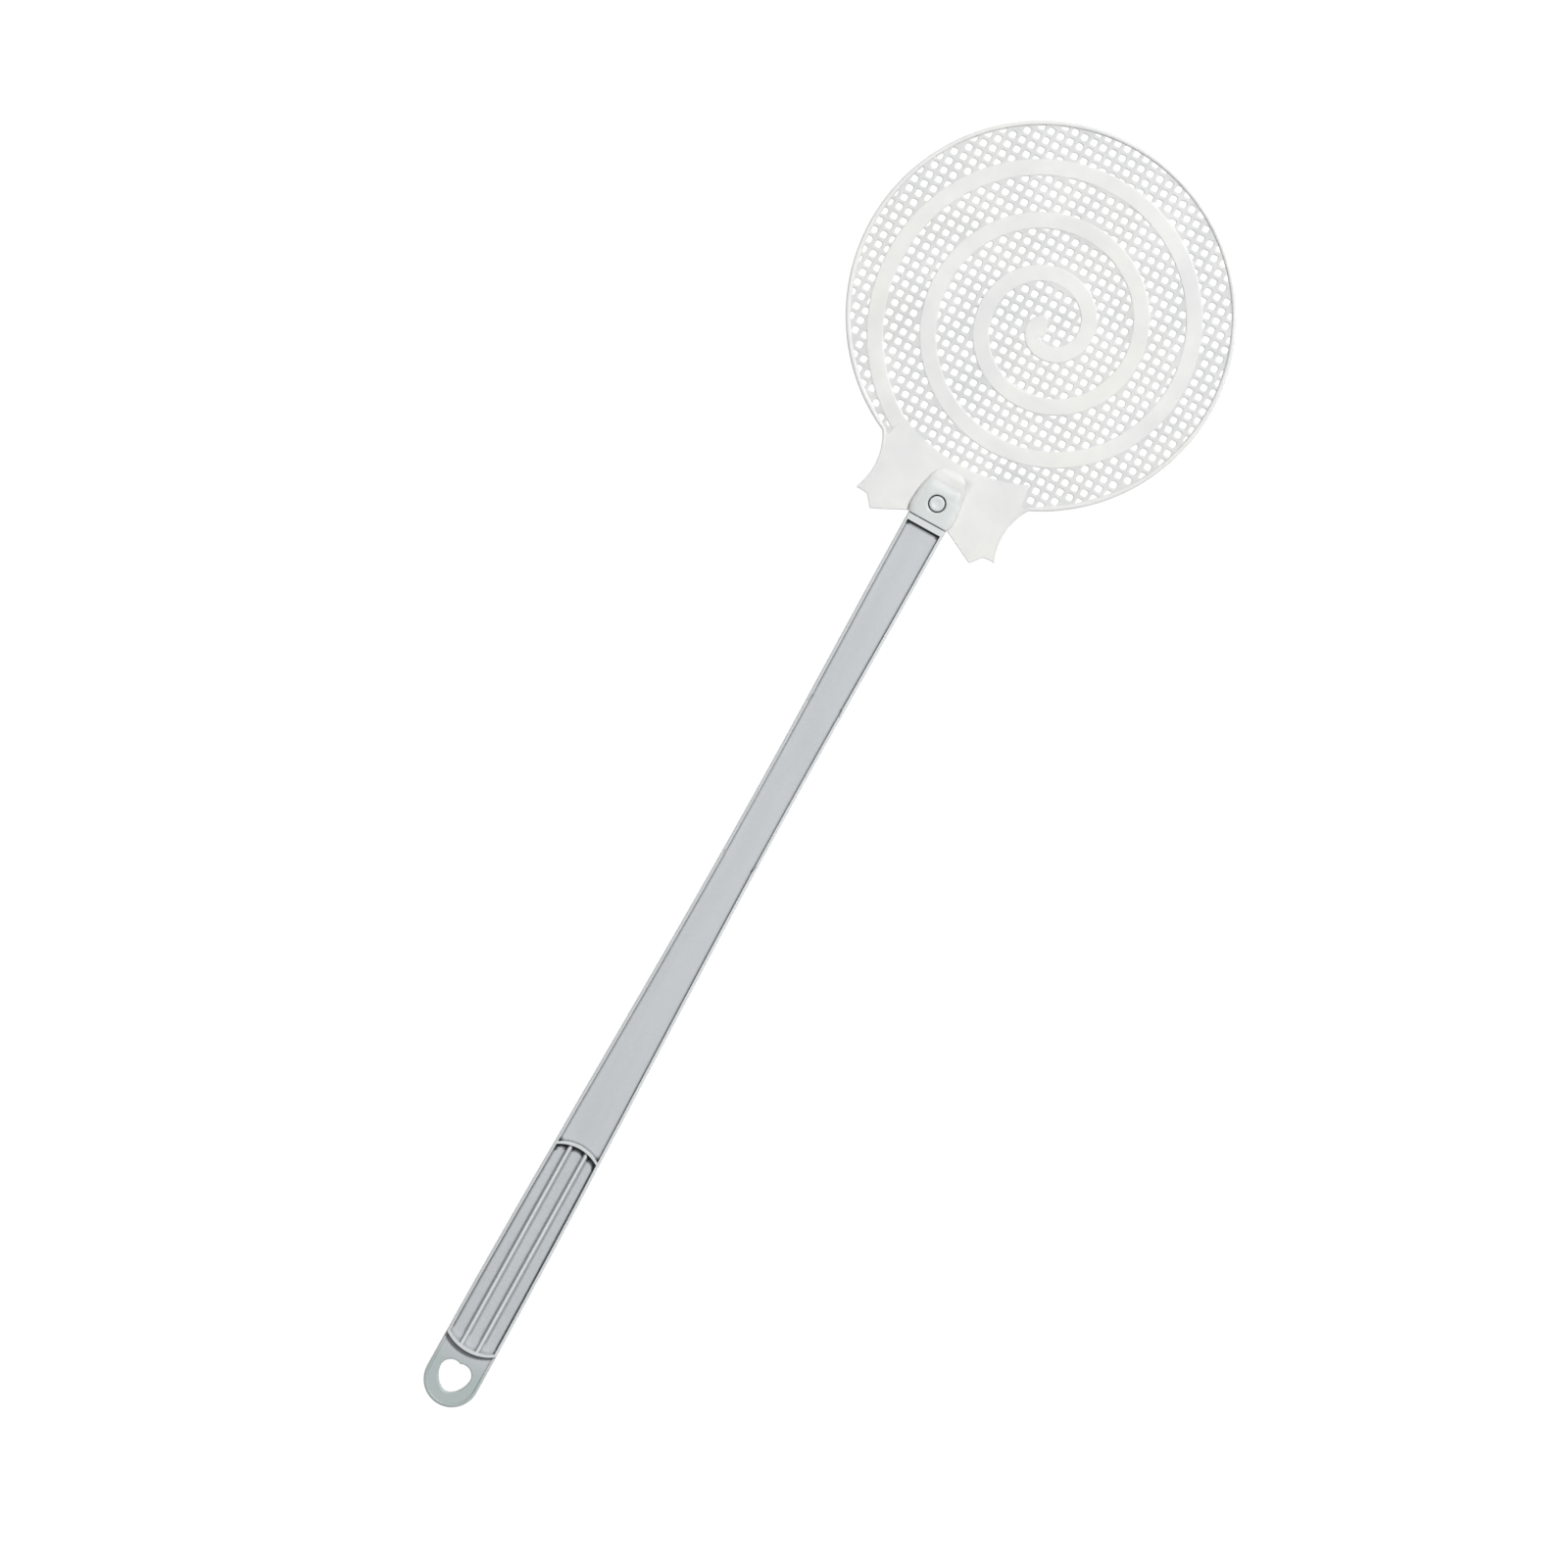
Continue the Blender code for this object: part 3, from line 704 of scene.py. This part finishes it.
def handle_rows():
    """Places along the handle, closest together at each step of the front or the back."""
    steps_at = [
        SHAFT_RECESS_TOP,
        SHAFT_RECESS_TOP - BACK_WALL,
        UPPER_RIB_CROWN,
        UPPER_RIB_CROWN - CROSS_RIB_WIDTH / 2,
        UPPER_RIB_CROWN - CROSS_RIB_WIDTH,
        UPPER_RIB_CROWN - CROSS_RIB_WIDTH - BACK_WALL,
        LOWER_RIB_CROWN + BACK_WALL,
        LOWER_RIB_CROWN + CROSS_RIB_WIDTH,
        LOWER_RIB_CROWN + CROSS_RIB_WIDTH / 2,
        LOWER_RIB_CROWN,
    ]
    rows = spread(SHOULDER, END_CENTRE, 110)
    for place in steps_at:
        rows += spread(place - WALL_RUN, place + WALL_RUN, 8)
    rows += [END_CENTRE - GRIP_HALF_WIDTH * math.sin(math.radians(angle)) for angle in range(4, 88, 3)]
    rows += [END_CENTRE - GRIP_HALF_WIDTH * math.sin(math.radians(angle)) for angle in (88, 89, 89.6)]
    rows = sorted(rows, reverse=True)
    kept = rows[:1]
    for row in rows[1:]:
        if kept[-1] - row > 0.02 * MM or row < END_CENTRE - 8 * MM:
            kept.append(row)
    return kept


def handle_ring(row):
    """The handle's closed cross-section at one row: across the front to the left, and back underneath."""
    width = half_width(row)
    ring = []
    for x in front_columns(width):
        y = row + bow(x, row)
        ring.append((x, y, front_height(x, y, row)))
    _, y_edge, wall_top = ring[-1]
    shrink = width / GRIP_HALF_WIDTH if row < END_CENTRE else 1.0
    side = [
        (0.0, mix(wall_top, MID_Z, 0.6)),
        (0.0, MID_Z + PARTING_HALF_HEIGHT),
        (-PARTING_LINE, MID_Z),
        (0.0, MID_Z - PARTING_HALF_HEIGHT),
        (0.0, 0.5 * MM),
        (0.04 * MM, 0.24 * MM),
        (0.14 * MM, 0.08 * MM),
        (0.34 * MM, 0.0),
    ]
    ceiling = channel_height(row)
    side += [
        (BACK_WALL - 0.15 * MM, 0.0),
        (BACK_WALL, min(ceiling, 0.15 * MM)),
        (BACK_WALL + 0.1 * MM, max(ceiling - 0.4 * MM, 0.0)),
        (BACK_WALL + 0.3 * MM, max(ceiling - 0.08 * MM, 0.0)),
        (BACK_WALL + 0.7 * MM, ceiling),
    ]
    left = [(-(width - inset * shrink), y_edge, z) for inset, z in side]
    middle = [(0.0, y_edge, ceiling)]
    right = [(width - inset * shrink, y_edge, z) for inset, z in reversed(side)]
    return ring + left + middle + right


def heart_outline(offset, steps=28):
    """The hanging hole's outline moved outwards by offset."""
    radius = HEART_LOBE_RADIUS + offset
    right = arc((HEART_LOBE_X, HEART_LOBE_Y), radius, math.acos(-HEART_LOBE_X / radius), 0.0, steps)
    power = 2 / HEART_FULLNESS
    for step in range(1, steps):
        angle = math.pi / 2 * step / steps
        x = (HEART_LOBE_X + radius) * math.cos(angle) ** power
        right.append((x, HEART_LOBE_Y - (HEART_DEPTH + offset) * math.sin(angle) ** power))
    left = [(-x, y) for x, y in reversed(right[1:])]
    return right + [(0.0, HEART_LOBE_Y - HEART_DEPTH - offset)] + left


def hang_tab_face(offset):
    """The sunken face of the hanging tab, inside its raised edge and below the lower cross rib."""
    radius = GRIP_HALF_WIDTH - EDGE_WIDTH + offset
    end = arc((0.0, END_CENTRE), radius, -math.pi, 0.0, 48)
    top = []
    for x in spread(radius, -radius, 24):
        rise = LOWER_RIB_RADIUS - math.sqrt(LOWER_RIB_RADIUS ** 2 - x ** 2)
        top.append((x, LOWER_RIB_CROWN + rise - WALL_RUN))
    return end + top


def make_tongue():
    half = TONGUE_THICKNESS / 2
    wide = TONGUE_HALF_WIDTH
    return stacked(
        "tongue",
        lambda offset: rectangle(wide + offset, SHAFT_RECESS_TOP, TONGUE_TIP + offset, TONGUE_CORNER),
        [(MID_Z - half, -0.3 * MM), (MID_Z - half + 0.1 * MM, -0.09 * MM), (MID_Z - half + 0.3 * MM, 0.0),
         (MID_Z + half - 0.3 * MM, 0.0), (MID_Z + half - 0.1 * MM, -0.09 * MM), (MID_Z + half, -0.3 * MM)],
    )


def make_handle(plastic):
    handle = loft("handle_moulding", [handle_ring(row) for row in handle_rows()])
    combine(handle, make_tongue(), "UNION")

    wide = TAB_HALF_WIDTH + GAP
    top = MID_Z + TONGUE_THICKNESS / 2 + GAP
    slot = stacked(
        "tab_slot",
        lambda offset: rectangle(wide, SHOULDER - GAP, TAB_TIP + GAP, 0.4 * MM),
        [(-MM, 0.0), (top, 0.0)],
    )
    combine(handle, slot, "DIFFERENCE")

    depth = HANG_TAB_TOP - HANG_TAB_FLOOR
    pocket = stacked(
        "hang_tab_pocket",
        hang_tab_face,
        [(HANG_TAB_FLOOR, -0.5 * depth), (HANG_TAB_FLOOR + 0.2 * depth, -0.2 * depth),
         (HANG_TAB_TOP - 0.3 * depth, 0.0), (HANG_TAB_TOP, 0.3 * depth), (HANG_TAB_TOP + MM, 0.3 * depth)],
    )
    combine(handle, pocket, "DIFFERENCE")

    lip = 0.45 * MM
    levels = [(-MM, lip), (0.0, lip), (0.13 * lip, 0.5 * lip), (0.5 * lip, 0.13 * lip), (lip, 0.0)]
    levels += [(HANG_TAB_FLOOR - z, offset) for z, offset in reversed(levels)]
    combine(handle, stacked("heart", heart_outline, levels), "DIFFERENCE")
    finish_moulding(handle, [plastic], "handle", "handle")


# Snap tab

def make_snap_tab(plastic):
    """The springy strip in the tongue and the round stud near its end."""
    top = MID_Z + TONGUE_THICKNESS / 2
    bottom = top - TAB_THICKNESS
    edge = 0.2 * MM
    tab = stacked(
        "snap_tab_moulding",
        lambda offset: rectangle(TAB_HALF_WIDTH + offset, SHOULDER, TAB_TIP + offset, 0.6 * MM),
        [(bottom, -edge), (bottom + edge, 0.0), (top - edge, 0.0),
         (top - 0.3 * edge, -0.3 * edge), (top, -edge)],
    )
    stud_top = MID_Z + SOCKET_THICKNESS / 2
    stud = stacked(
        "stud",
        lambda offset: circle(STUD_RADIUS + offset, STUD_Y),
        [(bottom + 0.3 * MM, 0.0), (stud_top - 0.55 * MM, 0.0), (stud_top - 0.3 * MM, -0.07 * MM),
         (stud_top - 0.12 * MM, -0.24 * MM), (stud_top - 0.03 * MM, -0.5 * MM),
         (stud_top, -0.85 * MM), (stud_top - 0.03 * MM, -1.15 * MM),
         (stud_top - 0.12 * MM, -1.5 * MM), (stud_top - 0.15 * MM, -2.3 * MM)],
    )
    combine(tab, stud, "UNION")
    finish_moulding(tab, [plastic], "snap_tab", "snap_tab")


# Plastics

def tinted(colour, tint):
    red, green, blue, alpha = colour
    return red * tint[0], green * tint[1], blue * tint[2], alpha


class Plastic:
    """A moulded plastic built from a few procedural layers."""

    def __init__(self, name):
        self.material = bpy.data.materials.new(name)
        self.material.use_nodes = True
        self.tree = self.material.node_tree
        self.shader = self.tree.nodes["Principled BSDF"]
        self.place = self.tree.nodes.new("ShaderNodeTexCoord").outputs["Object"]

    def node(self, kind, **values):
        made = self.tree.nodes.new(kind)
        for name, value in values.items():
            setattr(made, name, value)
        return made

    def link(self, output, socket):
        self.tree.links.new(output, socket)

    def noise(self, size, detail=2.0, stretch=(1.0, 1.0, 1.0)):
        """Smooth noise from 0 to 1 whose features are about size metres across."""
        mapping = self.node("ShaderNodeMapping")
        mapping.inputs["Scale"].default_value = stretch
        self.link(self.place, mapping.inputs["Vector"])
        noise = self.node("ShaderNodeTexNoise")
        noise.inputs["Scale"].default_value = 1 / size
        noise.inputs["Detail"].default_value = detail
        self.link(mapping.outputs["Vector"], noise.inputs["Vector"])
        return noise.outputs["Fac"]

    def ranged(self, value, low, high, to_low, to_high):
        """The value mapped from low..high to to_low..to_high, and held at the ends."""
        mapped = self.node("ShaderNodeMapRange")
        mapped.inputs["From Min"].default_value = low
        mapped.inputs["From Max"].default_value = high
        mapped.inputs["To Min"].default_value = to_low
        mapped.inputs["To Max"].default_value = to_high
        self.link(value, mapped.inputs["Value"])
        return mapped.outputs["Result"]

    def blend(self, share, first, second):
        """A mix of two colours, each a colour or another layer's output."""
        made = self.node("ShaderNodeMix", data_type="RGBA")
        for socket, value in ((made.inputs[0], share), (made.inputs[6], first), (made.inputs[7], second)):
            if isinstance(value, (float, tuple)):
                socket.default_value = value
            else:
                self.link(value, socket)
        return made.outputs[2]

    def maths(self, operation, first, second=0.0):
        made = self.node("ShaderNodeMath", operation=operation)
        for socket, value in zip(made.inputs, (first, second)):
            if isinstance(value, float):
                socket.default_value = value
            else:
                self.link(value, socket)
        return made.outputs[0]

    def product(self, first, *others):
        result = first
        for other in others:
            result = self.maths("MULTIPLY", result, other)
        return result

    def distance(self, value, centre):
        return self.maths("ABSOLUTE", self.maths("SUBTRACT", value, centre))

    def near(self, value, centre, full, none):
        """1 within full of the centre, falling to 0 at none from it."""
        return self.ranged(self.distance(value, centre), full, none, 1.0, 0.0)

    def axes(self):
        """The place on the moulding along x, y and z."""
        split = self.node("ShaderNodeSeparateXYZ")
        self.link(self.place, split.inputs["Vector"])
        return split.outputs

    def bump(self, layers):
        """Relief from a list of (height from 0 to 1, depth in metres), the coarse ones first."""
        normal = None
        for height, depth in layers:
            bump = self.node("ShaderNodeBump")
            bump.inputs["Distance"].default_value = depth
            self.link(height, bump.inputs["Height"])
            if normal is not None:
                self.link(normal, bump.inputs["Normal"])
            normal = bump.outputs["Normal"]
        self.link(normal, self.shader.inputs["Normal"])

    def crevices(self, reach):
        """0 deep in a corner and 1 in the open."""
        shade = self.node("ShaderNodeAmbientOcclusion", samples=8)
        shade.inputs["Distance"].default_value = reach
        return shade.outputs["AO"]


def milky_plastic(name, light, dark):
    """Translucent white polyethylene: cloudy, satin, and greyer where the handle's tongue is behind it."""
    plastic = Plastic(name)
    cloud = plastic.ranged(plastic.noise(14 * MM, 3.0), 0.35, 0.65, 0.0, 1.0)
    colour = plastic.blend(cloud, dark, light)
    warmth = plastic.ranged(plastic.noise(22 * MM, 1.0, (1.0, 0.7, 1.0)), 0.5, 0.7, 0.0, 0.35)
    colour = plastic.blend(warmth, colour, tinted(light, WARM_TINT))

    x, y, _ = plastic.axes()
    over_socket = plastic.near(x, 0.0, TONGUE_HALF_WIDTH + 0.2 * MM, TONGUE_HALF_WIDTH + 2.6 * MM)
    over_tongue = plastic.ranged(y, TONGUE_TIP - 2.3 * MM, TONGUE_TIP + 1.2 * MM, 1.0, 0.0)
    tongue = plastic.product(over_socket, over_tongue)
    colour = plastic.blend(tongue, colour, tinted(light, TONGUE_TINT))
    # Painted shade: the dome is greyer towards the side that faces the key light, so that it melts into the
    # collar
    dome = plastic.near(y, TONGUE_TIP + 0.3 * MM, 3.7 * MM, 4.9 * MM)
    lit_side = plastic.ranged(x, -5.0 * MM, 4.0 * MM, 0.0, 0.17)
    colour = plastic.blend(plastic.product(over_socket, dome, lit_side), colour, BLACK)

    plastic.link(colour, plastic.shader.inputs["Base Color"])
    gloss = plastic.ranged(plastic.noise(3 * MM, 2.0), 0.3, 0.7, 0.34, 0.46)
    plastic.link(gloss, plastic.shader.inputs["Roughness"])
    plastic.shader.inputs["IOR"].default_value = 1.5
    plastic.shader.inputs["Subsurface Weight"].default_value = 0.55
    plastic.shader.inputs["Subsurface Radius"].default_value = (1.0, 1.0, 1.0)
    plastic.shader.inputs["Subsurface Scale"].default_value = 1.2 * MM
    waves = plastic.noise(9 * MM, 2.0)
    grain = plastic.noise(0.5 * MM, 3.0)
    plastic.bump([(waves, 0.12 * MM), (grain, 0.012 * MM)])
    return plastic.material


def handle_shadows(plastic, x, y, z):
    """0 in the open and 1 in the handle's corners, widest under the neck and the upper cross rib."""
    openness = plastic.crevices(CREVICE_REACH)
    corners = plastic.ranged(openness, 0.52, 0.82, 1.0, 0.0)

    under_neck = plastic.near(y, SHAFT_RECESS_TOP - 0.5 * MM, 0.75 * MM, 1.1 * MM)
    rise = plastic.maths("SUBTRACT", y, UPPER_RIB_CROWN - UPPER_RIB_RADIUS)
    squares = plastic.maths("ADD", plastic.product(x, x), plastic.product(rise, rise))
    radius = plastic.maths("SQRT", squares)
    under_rib = plastic.product(
        plastic.near(radius, UPPER_RIB_RADIUS - CROSS_RIB_WIDTH - 0.8 * MM, 0.9 * MM, 1.3 * MM),
        plastic.ranged(rise, 0.0, 2 * MM, 0.0, 1.0),
        plastic.ranged(z, GRIP_FLOOR + 0.4 * MM, GRIP_FLOOR + MM, 1.0, 0.0),
    )
    shaded = plastic.maths("MAXIMUM", under_neck, under_rib)
    deep = plastic.product(shaded, plastic.ranged(openness, 0.78, 0.96, 1.0, 0.0))

    from_foot = plastic.distance(y, LOWER_RIB_CROWN + 2.8 * MM)
    lit_foot = plastic.ranged(from_foot, 1.8 * MM, 2.8 * MM, 0.3, 1.0)
    return plastic.product(plastic.maths("MAXIMUM", corners, deep), lit_foot)


def handle_plastic(name):
    """Pale blue-grey polypropylene: satin, with a fine moulded grain and faint flow marks along it."""
    plastic = Plastic(name)
    flow = plastic.ranged(plastic.noise(9 * MM, 3.0, (1.0, 0.12, 1.0)), 0.35, 0.65, 0.0, 1.0)
    colour = plastic.blend(flow, GREY_DARK, GREY_LIGHT)

    x, y, z = plastic.axes()
    grip_half = (UPPER_RIB_CROWN - LOWER_RIB_CROWN) / 2
    grip = plastic.near(y, UPPER_RIB_CROWN - grip_half, grip_half - 2.5 * MM, grip_half - 0.5 * MM)
    stipple = plastic.noise(0.6 * MM, 2.0)
    shaft_speckle = plastic.ranged(stipple, 0.3, 0.7, 0.0, 0.07)
    grip_speckle = plastic.product(grip, plastic.ranged(stipple, 0.35, 0.65, 0.0, 0.11))
    colour = plastic.blend(plastic.maths("ADD", shaft_speckle, grip_speckle), colour, GREY_SPECK)

    # Painted light: the hanging tab is tinted greener, for light shining through it
    thin = plastic.ranged(y, -392.0 * MM, -386.5 * MM, 1.0, 0.0)
    colour = plastic.blend(thin, colour, GREY_THIN)
    # Painted highlight: faces at and above the long ribs' top height are lighter, as where they catch the
    # light
    raised = plastic.ranged(z, LONG_RIB_TOP - 0.45 * MM, LONG_RIB_TOP, 0.0, 0.62)
    colour = plastic.blend(raised, colour, GREY_RAISED_HIGHLIGHT)
    # Painted highlight: the crests of the grip's long ribs are lighter still
    rib_crest_highlight = plastic.product(
        grip,
        plastic.near(plastic.distance(x, 0.0), LONG_RIB_X, 0.7 * MM, LONG_RIB_WIDTH / 2),
        plastic.ranged(z, LONG_RIB_TOP - 0.5 * MM, LONG_RIB_TOP - 0.1 * MM, 0.0, 0.5),
    )
    colour = plastic.blend(rib_crest_highlight, colour, GREY_CREST_HIGHLIGHT)
    colour = plastic.blend(handle_shadows(plastic, x, y, z), colour, GREY_SHADOW)

    plastic.link(colour, plastic.shader.inputs["Base Color"])
    gloss = plastic.ranged(plastic.noise(2.5 * MM, 2.0), 0.3, 0.7, 0.36, 0.5)
    plastic.link(gloss, plastic.shader.inputs["Roughness"])
    plastic.shader.inputs["IOR"].default_value = 1.49
    waves = plastic.noise(7 * MM, 2.0, (1.0, 0.3, 1.0))
    grain = plastic.noise(0.35 * MM, 2.0)
    plastic.bump([(waves, 0.05 * MM), (grain, 0.02 * MM)])
    return plastic.material


# Studio

def make_floor():
    bpy.ops.mesh.primitive_plane_add(size=6.0, location=(0.0, 0.0, -0.05 * MM))
    floor = bpy.context.object
    floor.name = "floor"
    paper = Plastic("White paper")
    tone = paper.ranged(paper.noise(0.05, 2.0), 0.3, 0.7, 0.11, 0.13)
    paper.link(tone, paper.shader.inputs["Base Color"])
    paper.shader.inputs["Roughness"].default_value = 0.9
    paper.shader.inputs["Emission Color"].default_value = WHITE
    paper.shader.inputs["Emission Strength"].default_value = PAPER_GLOW
    floor.data.materials.append(paper.material)


def area_light(name, place, size, power):
    """A square light aimed at the middle of the swatter."""
    data = bpy.data.lights.new(name, "AREA")
    data.size = size
    data.energy = power
    lamp = bpy.data.objects.new(name, data)
    lamp.location = place
    lamp.rotation_euler = (-Vector(place)).to_track_quat("-Z", "Y").to_euler()
    bpy.context.scene.collection.objects.link(lamp)


def make_studio():
    world = bpy.data.worlds.new("Studio")
    world.use_nodes = True
    background = world.node_tree.nodes["Background"]
    background.inputs["Color"].default_value = WHITE
    background.inputs["Strength"].default_value = WORLD_STRENGTH
    bpy.context.scene.world = world
    bpy.context.scene.view_settings.view_transform = "Standard"
    area_light("Key", KEY_PLACE, KEY_SIZE, KEY_POWER)
    area_light("Overhead", OVERHEAD_PLACE, OVERHEAD_SIZE, OVERHEAD_POWER)


def make_camera():
    """Straight above the swatter, turned so that it lies with its head to the upper right."""
    data = bpy.data.cameras.new("Camera")
    data.sensor_width = SENSOR_WIDTH
    data.lens = SENSOR_WIDTH * CAMERA_DISTANCE / FRAME_WIDTH
    camera = bpy.data.objects.new("Camera", data)
    camera.location = (CAMERA_X, BLADE_Y - CAMERA_BELOW_BLADE, MID_Z + CAMERA_DISTANCE)
    camera.rotation_euler = (0.0, 0.0, CAMERA_TURN)
    bpy.context.scene.collection.objects.link(camera)
    bpy.context.scene.camera = camera


milky = milky_plastic("Milky plastic", MILKY_LIGHT, MILKY_DARK)
# The net is the same plastic painted darker, as shade on its thin, rounded ribs
milky_net = milky_plastic("Milky net", NET_LIGHT, NET_DARK)
grey = handle_plastic("Blue-grey plastic")
make_head(milky, milky_net)
make_handle(grey)
make_snap_tab(grey)
make_floor()
make_studio()
make_camera()
